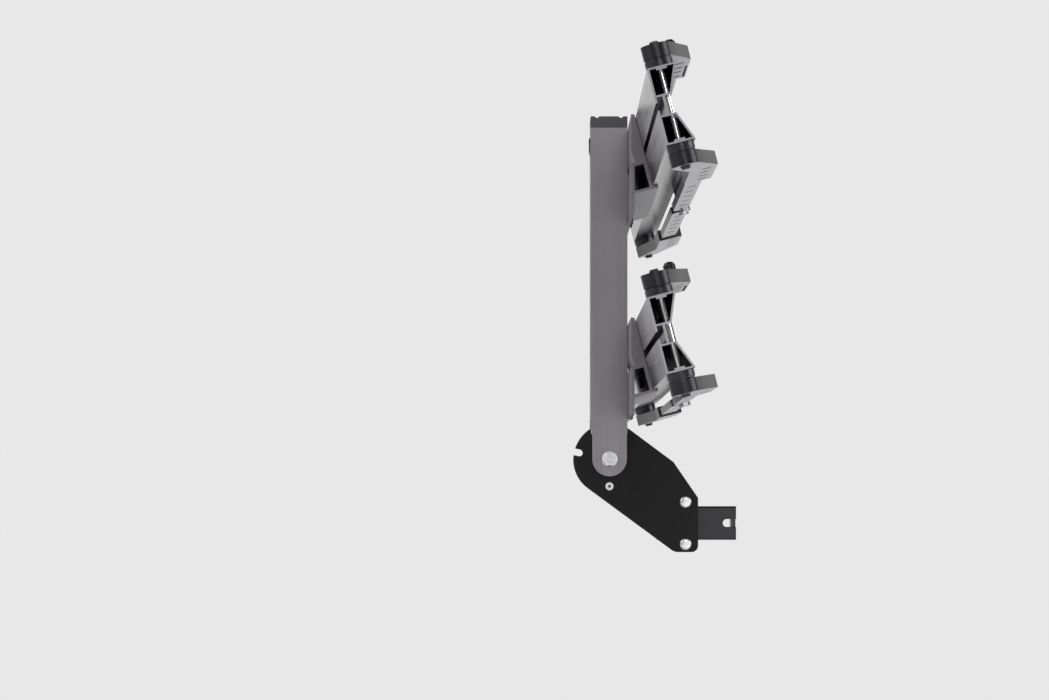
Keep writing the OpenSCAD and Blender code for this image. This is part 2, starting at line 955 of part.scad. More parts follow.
wheel_pad(outer_z, -1);  // outer_near_wheel_pad
knob(outer_z, -1);  // outer_near_knob
sleeve(outer_z, 1, 0);  // outer_far_sleeve_top
sleeve(outer_z, 1, 1);  // outer_far_sleeve_bottom
bars(outer_z, 1);  // outer_far_bars
cross_tube(outer_z, 1);  // outer_far_cross_tube
wheel_pad(outer_z, 1);  // outer_far_wheel_pad
knob(outer_z, 1);  // outer_far_knob
sleeve(inner_z, -1, 0);  // inner_near_sleeve_top
sleeve(inner_z, -1, 1);  // inner_near_sleeve_bottom
bars(inner_z, -1);  // inner_near_bars
cross_tube(inner_z, -1);  // inner_near_cross_tube
wheel_pad(inner_z, -1);  // inner_near_wheel_pad
knob(inner_z, -1);  // inner_near_knob
sleeve(inner_z, 1, 0);  // inner_far_sleeve_top
sleeve(inner_z, 1, 1);  // inner_far_sleeve_bottom
bars(inner_z, 1);  // inner_far_bars
cross_tube(inner_z, 1);  // inner_far_cross_tube
wheel_pad(inner_z, 1);  // inner_far_wheel_pad
knob(inner_z, 1);  // inner_far_knob
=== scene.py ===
"""Hitch bike rack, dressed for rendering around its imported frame.

Each sub-assembly is a class that dresses the nodes it owns and builds its own fine pieces.
Everything is in metres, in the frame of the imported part: +X towards the vehicle, Y along the
trays and +Z up along the stored beam.
"""

import logging
import math
from dataclasses import dataclass
from enum import Enum
from typing import Any, ClassVar, Optional, Sequence, Union

import bmesh
import bpy
from mathutils import Matrix, Vector

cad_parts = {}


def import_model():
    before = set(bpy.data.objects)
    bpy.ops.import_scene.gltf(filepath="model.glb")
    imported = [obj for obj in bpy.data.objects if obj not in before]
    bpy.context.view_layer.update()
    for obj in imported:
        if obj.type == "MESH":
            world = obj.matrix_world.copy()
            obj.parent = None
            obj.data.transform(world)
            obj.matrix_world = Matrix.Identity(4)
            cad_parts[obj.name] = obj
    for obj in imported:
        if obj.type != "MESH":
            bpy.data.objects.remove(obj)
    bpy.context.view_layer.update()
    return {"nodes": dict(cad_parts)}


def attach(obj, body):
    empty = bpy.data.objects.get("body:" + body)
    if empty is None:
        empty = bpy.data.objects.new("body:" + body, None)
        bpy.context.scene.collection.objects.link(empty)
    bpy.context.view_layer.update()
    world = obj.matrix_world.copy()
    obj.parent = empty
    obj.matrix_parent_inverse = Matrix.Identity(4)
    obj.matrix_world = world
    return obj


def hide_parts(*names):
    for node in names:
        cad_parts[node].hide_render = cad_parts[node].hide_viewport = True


LOG = logging.getLogger("rack")
MM = 0.001
Colour = tuple[float, float, float]
Axes = tuple[float, float, float]
Number = Union[float, "Val"]


class Side(Enum):
    """The two ends of a tray, by the sign of Y."""

    NEAR = -1
    FAR = 1


class Grain(Enum):
    """The axis that a drawn or brushed finish follows, as scales of the noise on X, Y and Z."""

    ALONG_X = (3.0, 420.0, 420.0)
    ALONG_Y = (420.0, 3.0, 420.0)
    ALONG_Z = (420.0, 420.0, 3.0)


@dataclass(frozen=True)
class Layer:
    """One noise of a finish, and how far it moves the finish's tone and roughness."""

    scale: float
    detail: float
    tone: float = 0.0
    gloss: float = 0.0
    stretch: Optional[Axes] = None


class Val:
    """A value socket that takes part in Python arithmetic by adding Math nodes."""

    def __init__(self, shade: "Shade", socket: bpy.types.NodeSocket) -> None:
        """Keeps the socket and the material it belongs to."""
        self.shade = shade
        self.socket = socket

    def _with(self, operation: str, *others: Number, clamp: bool = False) -> "Val":
        """Adds one Math node.

        Args:
            operation: Math node operation.
            others: further operands, sockets or numbers.
            clamp: whether the result stays between 0 and 1.

        Returns:
            The node's output.
        """
        return self.shade.math(operation, self, *others, clamp=clamp)

    def __add__(self, other: Number) -> "Val":
        """Sum."""
        return self._with("ADD", other)

    def __radd__(self, other: float) -> "Val":
        """Sum with a number on the left."""
        return self._with("ADD", other)

    def __sub__(self, other: Number) -> "Val":
        """Difference."""
        return self._with("SUBTRACT", other)

    def __rsub__(self, other: float) -> "Val":
        """Difference from a number on the left."""
        return self.shade.math("SUBTRACT", other, self)

    def __mul__(self, other: Number) -> "Val":
        """Product."""
        return self._with("MULTIPLY", other)

    def __rmul__(self, other: float) -> "Val":
        """Product with a number on the left."""
        return self._with("MULTIPLY", other)

    def clamped(self) -> "Val":
        """The value held between 0 and 1."""
        return self._with("ADD", 0.0, clamp=True)


class Shade:
    """A material's node tree, with short calls that add nodes and link them."""

    def __init__(self, name: str) -> None:
        """Starts an empty material with a Principled shader."""
        self.material = bpy.data.materials.new(name)
        self.material.use_nodes = True
        self.tree = self.material.node_tree
        self.tree.nodes.clear()
        self.out = self.tree.nodes.new("ShaderNodeOutputMaterial")
        self.shader = self.tree.nodes.new("ShaderNodeBsdfPrincipled")
        self.tree.links.new(self.shader.outputs[0], self.out.inputs["Surface"])
        self.place = self.node("ShaderNodeTexCoord", {}, {})

    def node(self, kind: str, settings: dict[str, Any], sockets: dict[Any, Any]) -> bpy.types.Node:
        """Adds one node.

        Args:
            kind: the node's type.
            settings: attributes of the node, set first.
            sockets: values, links or Val objects for its inputs, by name or number.

        Returns:
            The node.
        """
        made = self.tree.nodes.new(kind)
        for name, value in settings.items():
            setattr(made, name, value)
        for name, value in sockets.items():
            self.feed(value, made.inputs[name])
        return made

    def feed(self, value: Any, socket: bpy.types.NodeSocket) -> None:
        """Links a value to an input, or sets it, with alpha 1 added to a plain colour."""
        value = value.socket if isinstance(value, Val) else value
        if isinstance(value, bpy.types.NodeSocket):
            self.tree.links.new(value, socket)
        elif socket.type == "RGBA":
            socket.default_value = (*value, 1.0)
        else:
            socket.default_value = value

    def math(self, operation: str, *values: Number, clamp: bool = False) -> Val:
        """Adds a Math node on values and returns its output."""
        made = self.node("ShaderNodeMath", {"operation": operation, "use_clamp": clamp},
                         dict(enumerate(values)))
        return Val(self, made.outputs[0])

    def stretched(self, scale: Axes) -> bpy.types.NodeSocket:
        """Object coordinates scaled on each axis."""
        made = self.node("ShaderNodeMapping", {}, {"Vector": self.place.outputs["Object"],
                                                  "Scale": scale})
        return made.outputs[0]

    def noise(self, layer: Layer) -> Val:
        """Noise on Object coordinates, stretched along an axis where the layer says so."""
        place = self.place.outputs["Object"]
        vector = self.stretched(layer.stretch) if layer.stretch else place
        made = self.node("ShaderNodeTexNoise", {}, {"Vector": vector, "Scale": layer.scale,
                                                   "Detail": layer.detail})
        return Val(self, made.outputs[0])

    def mix(self, factor: Number, a: Any, b: Any) -> bpy.types.NodeSocket:
        """Mixes two colours, given as colours or sockets."""
        made = self.node("ShaderNodeMix", {"data_type": "RGBA"}, {})
        for name, value in (("Factor", factor), ("A", a), ("B", b)):
            self.feed(value, next(s for s in made.inputs if s.name == name and s.enabled))
        return next(s for s in made.outputs if s.enabled)

    def facing(self, axis: str, low: float, high: float) -> Val:
        """How far the surface's own normal lies along an axis, 0 below low and 1 above high."""
        parts = self.node("ShaderNodeSeparateXYZ", {}, {0: self.place.outputs["Normal"]})
        size = self.math("ABSOLUTE", Val(self, parts.outputs[axis]))
        return ((size - low) * (1.0 / (high - low))).clamped()

    def bump(self, height: Val, depth: float, strength: float) -> bpy.types.NodeSocket:
        """A bumped normal from a height."""
        made = self.node("ShaderNodeBump", {}, {"Height": height, "Distance": depth,
                                               "Strength": strength})
        return made.outputs[0]

    def finish(self, **inputs: Any) -> bpy.types.Material:
        """Sets or links the shader's inputs, with _ for a space, and returns the material."""
        for name, value in inputs.items():
            self.feed(value, self.shader.inputs[name.replace("_", " ")])
        return self.material


@dataclass(frozen=True)
class Finish:
    """A finish that a few noises vary between a dark and a light tone, the first one bumped."""

    name: str
    dark: Colour
    light: Colour
    roughness: float
    metallic: float = 0.0
    sheen: float = 0.5
    mean_tone: ClassVar[float] = 0.5
    bump_depth: ClassVar[float] = 0.2 * MM
    bump_strength: ClassVar[float] = 0.15

    def layers(self) -> tuple[Layer, ...]:
        """The finish's noises, the bumped one first."""
        raise NotImplementedError

    def detail(self, shade: Shade, mask: Val, colour: Any, rough: Val) -> tuple[Any, Val]:
        """Changes the colour and roughness where a kind of finish needs it."""
        return colour, rough

    def build(self) -> bpy.types.Material:
        """Makes the material.

        Returns:
            The material, with colour, roughness and bump from the same noises.
        """
        shade = Shade(self.name)
        made = [(layer, shade.noise(layer)) for layer in self.layers()]
        tones = [(noise, layer.tone) for layer, noise in made if layer.tone]
        glosses = [(noise, layer.gloss) for layer, noise in made if layer.gloss]
        mask = self.about(self.mean_tone, tones).clamped()
        rough = self.about(self.roughness, glosses)
        colour = shade.mix(mask, self.dark, self.light)
        colour, rough = self.detail(shade, mask, colour, rough)
        return shade.finish(Base_Color=colour, Roughness=rough, Metallic=self.metallic,
                            Specular_IOR_Level=self.sheen,
                            Normal=shade.bump(made[0][1], self.bump_depth, self.bump_strength))

    @staticmethod
    def about(mean: float, parts: Sequence[tuple[Val, float]]) -> Val:
        """A value that noises move round its mean, each by up to half its weight."""
        value = mean - sum(weight for _, weight in parts) / 2
        for noise, weight in parts:
            value = noise * weight + value
        return value


@dataclass(frozen=True)
class DrawnAluminium(Finish):
    """Anodised extrusion: die lines along its length, a sawn end and, if given, painted shade on
    its flanks.
    """

    roughness: float = 0.42
    metallic: float = 0.55
    grain: Grain = Grain.ALONG_Y
    sawn: Optional[Colour] = None
    flank_shade: Optional[Colour] = None
    bump_strength: ClassVar[float] = 0.18
    sawn_facing: ClassVar[tuple[str, float, float]] = ("Y", 0.85, 0.98)
    sawn_rough: ClassVar[float] = 0.3
    sawn_dark: ClassVar[float] = 0.75
    saw_marks: ClassVar[Layer] = Layer(scale=1.0, detail=2.0, stretch=(40.0, 40.0, 900.0))
    level_facing: ClassVar[tuple[str, float, float]] = ("Z", 0.85, 0.95)
    flank_shade_dark: ClassVar[float] = 0.7

    def layers(self) -> tuple[Layer, ...]:
        """Fine die lines, broad bands along them and a cloud of uneven dye."""
        along = self.grain.value
        return (Layer(scale=1.0, detail=2.0, tone=0.55, gloss=0.16, stretch=along),
                Layer(scale=0.12, detail=1.0, tone=0.35, stretch=along),
                Layer(scale=9.0, detail=3.0, tone=0.3, gloss=0.1))

    def detail(self, shade: Shade, mask: Val, colour: Any, rough: Val) -> tuple[Any, Val]:
        """Lays saw marks on the cut end, and paints shade on the faces that aren't level."""
        if self.sawn:
            end = shade.facing(*self.sawn_facing)
            rough = rough + end * self.sawn_rough
            cut = shade.mix(shade.noise(self.saw_marks),
                            tuple(self.sawn_dark * v for v in self.sawn), self.sawn)
            colour = shade.mix(end, colour, cut)
        # Painted shade: faces that aren't level take a dark tone, standing in for the shade that
        # falls on the sides and ends.
        if self.flank_shade:
            level = shade.facing(*self.level_facing)
            painted_flank_shade = shade.mix(mask, tuple(self.flank_shade_dark * v for v in self.flank_shade), self.flank_shade)
            colour = shade.mix(level, painted_flank_shade, colour)
        return colour, rough


@dataclass(frozen=True)
class PowderCoat(Finish):
    """Satin powder coat with a fine pebbled skin and faint rub marks."""

    sheen: float = 0.2
    mean_tone: ClassVar[float] = 0.35
    bump_depth: ClassVar[float] = 0.3 * MM
    bump_strength: ClassVar[float] = 0.2

    def layers(self) -> tuple[Layer, ...]:
        """Pebbles, soft patches of wear and rub marks."""
        return (Layer(scale=1400.0, detail=2.0, gloss=0.08),
                Layer(scale=14.0, detail=4.0, tone=0.9, gloss=0.2),
                Layer(scale=5.0, detail=2.0, tone=0.5, stretch=(1.0, 1.0, 0.25)))


@dataclass(frozen=True)
class Moulded(Finish):
    """Moulded or anodised black part with a soft, uneven sheen and fine surface grain."""

    def layers(self) -> tuple[Layer, ...]:
        """Surface grain and a cloud of uneven sheen."""
        return (Layer(scale=900.0, detail=2.0, gloss=0.1),
                Layer(scale=30.0, detail=3.0, tone=1.4, gloss=0.2))


@dataclass(frozen=True)
class Plated(Finish):
    """Plated or polished steel with clouded plating and fine scratches."""

    metallic: float = 0.9
    bump_depth: ClassVar[float] = 0.1 * MM
    bump_strength: ClassVar[float] = 0.12

    def layers(self) -> tuple[Layer, ...]:
        """Scratches and clouded plating."""
        return (Layer(scale=1.0, detail=2.0, gloss=0.12, stretch=(900.0, 60.0, 200.0)),
                Layer(scale=60.0, detail=4.0, tone=1.5, gloss=0.12))


class Finishes:
    """All the finishes of the rack, made once."""

    def __init__(self) -> None:
        """Builds every material."""
        self.beam = DrawnAluminium(
            "drawn_beam_grey", (0.177, 0.166, 0.179), (0.295, 0.273, 0.295),
            grain=Grain.ALONG_Z).build()
        self.cap = Moulded(
            "moulded_cap_grey", (0.052, 0.048, 0.055), (0.075, 0.069, 0.079),
            roughness=0.5).build()
        self.plate = PowderCoat(
            "powder_black", (0.003, 0.0028, 0.0036), (0.0095, 0.009, 0.0105),
            roughness=0.52).build()
        self.bar = DrawnAluminium(
            "drawn_bar_black", (0.017, 0.0156, 0.0175), (0.036, 0.034, 0.037),
            metallic=0.5, grain=Grain.ALONG_X).build()
        self.tray = DrawnAluminium(
            "drawn_tray_grey", (0.115, 0.11, 0.12), (0.25, 0.24, 0.256),
            roughness=0.22, metallic=0.9, sawn=(0.36, 0.35, 0.375)).build()
        self.saddle = DrawnAluminium(
            "drawn_saddle_grey", (0.14, 0.134, 0.146), (0.25, 0.238, 0.256),
            sawn=(0.26, 0.247, 0.266)).build()
        # The arm's flanks carry painted shade, and its level faces keep the light tone.
        self.arm = DrawnAluminium(
            "drawn_arm_grey", (0.36, 0.35, 0.37), (0.52, 0.51, 0.535),
            roughness=0.36, metallic=0.9, flank_shade=(0.045, 0.043, 0.047)).build()
        self.hub = Moulded(
            "anodised_hub_black", (0.015, 0.0144, 0.0172), (0.05, 0.0475, 0.055),
            roughness=0.3, metallic=0.5).build()
        self.steel = Plated(
            "zinc_plate", (0.45, 0.45, 0.46), (0.72, 0.72, 0.73), roughness=0.3).build()
        self.chrome = Plated(
            "polished_axle", (0.8, 0.8, 0.82), (0.95, 0.95, 0.96), roughness=0.14).build()
        self.rubber = Moulded(
            "pad_rubber", (0.014, 0.014, 0.015), (0.03, 0.03, 0.031), roughness=0.7).build()
        # Painted shade for recesses: the floors of the index marks and the socket of a bolt.
        self.mark = Moulded(
            "engraved_mark", (0.008, 0.008, 0.009), (0.018, 0.017, 0.019),
            roughness=0.6).build()


class Bench:
    """Makes mesh objects, puts finishes on them and hangs them on their bodies."""

    WELD = 2e-6
    FLAT_ANGLE = math.radians(1.0)
    EDGE_ANGLE = math.radians(32.0)
    EDGE_SEGMENTS = 2
    STALE = ("custom_normal", "sharp_edge")

    def __init__(self, nodes: dict[str, bpy.types.Object], finishes: Finishes) -> None:
        """Keeps the frame's nodes and the finishes."""
        self.nodes = nodes
        self.finishes = finishes

    def dress(self, node: str, material: bpy.types.Material) -> None:
        """Puts a finish on a node whose shape stays."""
        slots = self.nodes[node].data.materials
        slots.clear()
        slots.append(material)

    def add(self, name: str, build: bmesh.types.BMesh, material: bpy.types.Material,
            body: str) -> None:
        """Turns a finished bmesh into a flat-shaded piece.

        Args:
            name: the piece's name.
            build: the bmesh, which is freed.
            material: its finish.
            body: the body it rides on.
        """
        bmesh.ops.recalc_face_normals(build, faces=build.faces[:])
        piece = self._shelve(name, build)
        piece.data.materials.append(material)
        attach(piece, body)

    def soften(self, node: str, body: str, material: bpy.types.Material,
               edge: float) -> bpy.types.Object:
        """Stands a copy with broken edges in for a node.

        Args:
            node: the node that the copy replaces.
            body: the body it rides on.
            material: its finish.
            edge: width of the broken edge, in metres.

        Returns:
            The piece.
        """
        build = bmesh.new()
        build.from_mesh(self.nodes[node].data)
        bmesh.ops.remove_doubles(build, verts=build.verts[:], dist=self.WELD)
        bmesh.ops.dissolve_limit(build, angle_limit=self.FLAT_ANGLE, verts=build.verts[:],
                                 edges=build.edges[:])
        piece = self._shelve(f"{node}_softened", build)
        for stale in self.STALE:
            if stale in piece.data.attributes:
                piece.data.attributes.remove(piece.data.attributes[stale])
        piece.data.shade_smooth()
        bevel = piece.modifiers.new("broken_edges", "BEVEL")
        bevel.width = edge
        bevel.segments = self.EDGE_SEGMENTS
        bevel.limit_method = "ANGLE"
        bevel.angle_limit = self.EDGE_ANGLE
        bevel.harden_normals = True
        plain = self._applied(piece)
        plain.materials.clear()
        plain.materials.append(material)
        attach(piece, body)
        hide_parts(node)
        return piece

    @staticmethod
    def _shelve(name: str, build: Optional[bmesh.types.BMesh] = None) -> bpy.types.Object:
        """Links a new object to the scene, empty or with a bmesh's shape, and frees the bmesh."""
        mesh = bpy.data.meshes.new(name)
        if build:
            build.to_mesh(mesh)
            build.free()
        made = bpy.data.objects.new(name, mesh)
        bpy.context.scene.collection.objects.link(made)
        return made

    @staticmethod
    def tip(piece: bpy.types.Object, material: bpy.types.Material, turn: Matrix,
            reach: float) -> None:
        """Gives both ends of a piece their own finish.

        Args:
            piece: the piece.
            material: the finish of its ends.
            turn: the frame whose z the piece runs along.
            reach: how far from that frame's origin the ends begin, in metres.
        """
        back = turn.inverted()
        piece.data.materials.append(material)
        for face in piece.data.polygons:
            if abs((back @ face.center).z) > reach:
                face.material_index = 1

    @staticmethod
    def _applied(piece: bpy.types.Object) -> bpy.types.Mesh:
        """Turns an object's evaluated shape into its plain mesh and drops its modifiers."""
        graph = bpy.context.evaluated_depsgraph_get()
        graph.update()
        plain = bpy.data.meshes.new_from_object(piece.evaluated_get(graph))
        piece.modifiers.clear()
        piece.data = plain
        return plain

    def repeated(self, name: str, tree: "RepeatTree", sizes: dict[str, Any],
                 material: bpy.types.Material, body: str, turn: Matrix) -> None:
        """Makes a piece from a Geometry Nodes tree and puts it in place.

        Args:
            name: the piece's name.
            tree: the tree to run.
            sizes: its inputs by name.
            material: the finish set at its end.
            body: the body it rides on.
            turn: where the piece lies in the frame.
        """
        piece = self._shelve(name)
        run = piece.modifiers.new("repeat", "NODES")
        run.node_group = tree.group
        for label, value in {**sizes, "Finish": material}.items():
            run[tree.sockets[label]] = value
        self._applied(piece).transform(turn)
        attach(piece, body)


class RepeatTree:
    """Base of the Geometry Nodes trees: named inputs in, realized instances with a finish out."""

    def __init__(self, name: str, inputs: Sequence[tuple[str, str]]) -> None:
        """Makes the group and its sockets.

        Args:
            name: the group's name.
            inputs: label and socket type of each input.
        """
        self.group = bpy.data.node_groups.new(name, "GeometryNodeTree")
        self.sockets: dict[str, str] = {}
        face = self.group.interface
        for label, kind in [*inputs, ("Finish", "NodeSocketMaterial")]:
            made = face.new_socket(label, in_out="INPUT", socket_type=kind)
            self.sockets[label] = made.identifier
        face.new_socket("Geometry", in_out="OUTPUT", socket_type="NodeSocketGeometry")
        self.enter = self.group.nodes.new("NodeGroupInput")
        self.build()

    def node(self, kind: str, settings: dict[str, Any], **sockets: Any) -> bpy.types.Node:
        """Adds a node, with _ for a space in a socket's name."""
        made = self.group.nodes.new(kind)
        for name, value in settings.items():
            setattr(made, name, value)
        for name, value in sockets.items():
            target = made.inputs[name.replace("_", " ")]
            if isinstance(value, bpy.types.NodeSocket):
                self.group.links.new(value, target)
            else:
                target.default_value = value
        return made

    def given(self, label: str) -> bpy.types.NodeSocket:
        """The group input of that name."""
        return self.enter.outputs[label]

    def close(self, geometry: bpy.types.NodeSocket) -> None:
        """Realizes the instances, sets the finish and links the output."""
        real = self.node("GeometryNodeRealizeInstances", {}, Geometry=geometry)
        dressed = self.node("GeometryNodeSetMaterial", {}, Geometry=real.outputs[0],
                            Material=self.given("Finish"))
        leave = self.group.nodes.new("NodeGroupOutput")
        self.group.links.new(dressed.outputs[0], leave.inputs[0])

    def build(self) -> None:
        """Adds the tree's own nodes."""
        raise NotImplementedError


class RingTree(RepeatTree):
    """Bars set round a circle in the XY plane, such as the grip ribs of a knob."""

    def __init__(self) -> None:
        """Names the inputs: how many bars, the circle's radius and a bar's size."""
        super().__init__("ring_of_bars", [("Count", "NodeSocketInt"), ("Radius", "NodeSocketFloat"),
                                          ("Size", "NodeSocketVector")])

    def build(self) -> None:
        """Puts a bar on each point of a circle, turned to face outwards."""
        ring = self.node("GeometryNodeMeshCircle", {}, Vertices=self.given("Count"),
                         Radius=self.given("Radius"))
        bar = self.node("GeometryNodeMeshCube", {}, Size=self.given("Size"))
        where = self.node("GeometryNodeInputPosition", {})
        align = self.node("FunctionNodeAlignRotationToVector", {"axis": "X"},
                          Vector=where.outputs[0])
        placed = self.node("GeometryNodeInstanceOnPoints", {}, Points=ring.outputs[0],
                           Instance=bar.outputs[0], Rotation=align.outputs[0])
        self.close(placed.outputs[0])


class RowTree(RepeatTree):
    """Bars set in a straight row along Y, such as the painted shade in the index marks of an arm.
    """

    def __init__(self) -> None:
        """Names the inputs: how many bars, their pitch and a bar's size."""
        super().__init__("row_of_bars", [("Count", "NodeSocketInt"), ("Pitch", "NodeSocketVector"),
                                         ("Size", "NodeSocketVector")])

    def build(self) -> None:
        """Puts a bar on each point of a line."""
        line = self.node("GeometryNodeMeshLine", {}, Count=self.given("Count"),
                         Offset=self.given("Pitch"))
        bar = self.node("GeometryNodeMeshCube", {}, Size=self.given("Size"))
        placed = self.node("GeometryNodeInstanceOnPoints", {}, Points=line.outputs[0],
                           Instance=bar.outputs[0])
        self.close(placed.outputs[0])


@dataclass
class TrayFrame:
    """The tilted frame of a tray: x square to it, y along it and z across it."""

    origin: Vector
    tilt: float

    def matrix(self) -> Matrix:
        """The frame as a matrix."""
        return Matrix.Translation(self.origin) @ Matrix.Rotation(-self.tilt, 4, "Y")

    def at(self, w: float, y: float, z: float) -> Matrix:
        """A place in the tray's frame, turned with it."""
        return self.matrix() @ Matrix.Translation((w, y, z))


@dataclass(frozen=True)
class RackSizes:
    """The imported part's sizes that place the frames of the trays, in metres."""

    pivot_back: float = 190.9 * MM
    beam_set: float = 28.6 * MM
    beam_depth: float = 55.5 * MM
    tray_gap: float = 28.6 * MM
    tray_low: float = 245.7 * MM
    tray_pitch: float = 293.0 * MM
    tray_tilt: float = math.radians(14.5)

    def tray(self, level: int) -> TrayFrame:
        """The frame of the inner tray at level 0, and of the outer one at level 1."""
        x = self.beam_depth + self.tray_gap - self.pivot_back - self.beam_set
        height = self.tray_low + level * self.tray_pitch
        return TrayFrame(Vector((x, 0.0, height)), self.tray_tilt)


@dataclass
class HitchBase:
    """Hitch bar, side plates, the bolts that hold them, and the lock in the bar."""

    bench: Bench
    body: str = "hitch"
    lock_body: str = "draw"
    plate_edge: float = 0.7 * MM
    bar_edge: float = 0.4 * MM
    bolt_edge: float = 0.5 * MM
    stop_place: tuple[float, float, float] = (-190.9 * MM, -32.1 * MM, 55.3 * MM)
    stop_socket: float = 4.2 * MM
    socket_sides: int = 6
    socket_floor: float = 0.2 * MM

    def build(self) -> None:
        """Dresses the base."""
        finish = self.bench.finishes
        for node in ("side_plate_near", "side_plate_far"):
            self.bench.soften(node, self.body, finish.plate, self.plate_edge)
        self.bench.soften("hitch_bar", self.body, finish.bar, self.bar_edge)
        for node in ("clamp_bolts", "clamp_nuts", "stop_bolt"):
            self.bench.soften(node, self.body, finish.steel, self.bolt_edge)
        self.bench.dress("pivot_sleeve", finish.steel)
        self.bench.soften("draw_rod", self.lock_body, finish.steel, self.bolt_edge)
        self.bench.dress("lock_ball", finish.chrome)
        self.bench.dress("draw_wedge", finish.hub)
        self.bench.dress("end_plug", finish.hub)
        self.socket("stop_bolt_socket", self.stop_place, self.stop_socket)

    def socket(self, name: str, place: tuple[float, float, float], across: float) -> None:
        """Paints the shade of a hexagon socket on a bolt head, as a dark floor.

        Args:
            name: the piece's name.
            place: the middle of the head's face.
            across: the hexagon's width across its flats.
        """
        build = bmesh.new()
        radius = across / math.sqrt(3)
        made = bmesh.ops.create_cone(build, cap_ends=True, segments=self.socket_sides,
                                     depth=self.socket_floor, radius1=radius, radius2=radius)
        bmesh.ops.rotate(build, verts=made["verts"], cent=(0, 0, 0),
                         matrix=Matrix.Rotation(math.pi / 2, 3, "X"))
        bmesh.ops.translate(build, verts=made["verts"], vec=place)
        # The dark hexagon is painted shade, standing in for the socket's recess.
        self.bench.add(name, build, self.bench.finishes.mark, self.body)


@dataclass
class MainBeam:
    """Beam, its cap, the pivot bolt and the latch inside."""

    bench: Bench
    body: str = "beam"
    latch_body: str = "latch"
    beam_edge: float = 0.9 * MM
    cap_edge: float = 0.8 * MM
    small_edge: float = 0.6 * MM

    def build(self) -> None:
        """Dresses the beam and its latch."""
        finish = self.bench.finishes
        self.bench.soften("beam", self.body, finish.beam, self.beam_edge)
        self.bench.soften("beam_cap", self.body, finish.cap, self.cap_edge)
        self.bench.soften("release_handle", self.latch_body, finish.hub, self.small_edge)
        for node in ("pivot_bolt", "pivot_nut"):
            self.bench.soften(node, self.body, finish.steel, self.small_edge)
        for node in ("latch_bar", "latch_rod"):
            self.bench.dress(node, finish.steel)


@dataclass
class Tray:
    """One tray with its saddle, hub discs and axles."""

    bench: Bench
    label: str
    frame: TrayFrame
    body: str = "beam"
    fine_edge: float = 0.3 * MM
    saddle_edge: float = 0.4 * MM
    disc_edge: float = 0.5 * MM
    axle_grip: float = 80.6 * MM

    def build(self) -> None:
        """Dresses the tray, and darkens the ends of its axles."""
        finish = self.bench.finishes
        for name, material, edge in (("tray", finish.tray, self.fine_edge),
                                     ("saddle", finish.saddle, self.saddle_edge),
                                     ("hub_discs", finish.hub, self.disc_edge),
                                     ("saddle_bolts", finish.hub, self.saddle_edge)):
            self.bench.soften(f"{self.label}_{name}", self.body, material, edge)
        for side in Side:
            axle = self.bench.soften(f"{self.label}_axle_{side.name.lower()}", self.body,
                                     finish.chrome, self.fine_edge)
            self.bench.tip(axle, finish.hub, self.frame.matrix(), self.axle_grip)


